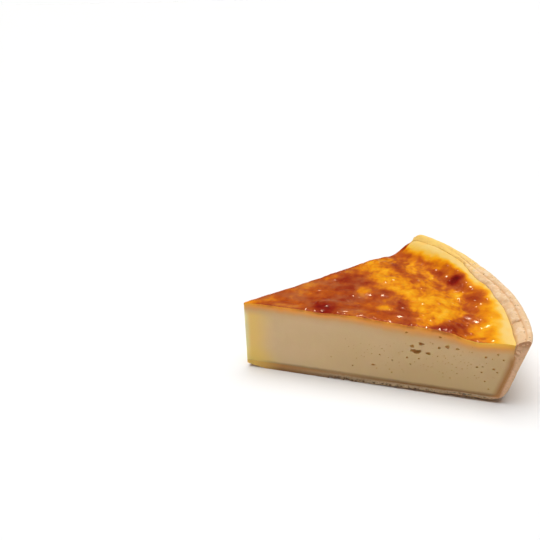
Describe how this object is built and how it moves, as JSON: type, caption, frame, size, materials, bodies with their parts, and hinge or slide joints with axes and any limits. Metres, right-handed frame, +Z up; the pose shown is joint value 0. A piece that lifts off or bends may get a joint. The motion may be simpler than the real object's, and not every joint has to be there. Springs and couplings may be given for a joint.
{
  "type": "slice of custard flan",
  "caption": "Wedge of baked custard flan with a browned glossy top, in a thin pastry shell with a flared crust.",
  "frame": {"origin": "centre of the slice's bounding box, on the surface that it stands on", "axes": "+Z up, -X towards the point of the slice, +X towards the middle of the crust, -Y the side of the near cut"},
  "size_m": [0.11, 0.1098, 0.0326],
  "materials": {
    "baked_pastry": "dry baked shortcrust, pale gold with small brown specks",
    "set_custard": "smooth set custard on the cut faces, glossy browned amber skin on top"
  },
  "bodies": {
    "root": {"pastry_shell": "baked_pastry", "custard": "set_custard"}
  },
  "joints": []
}
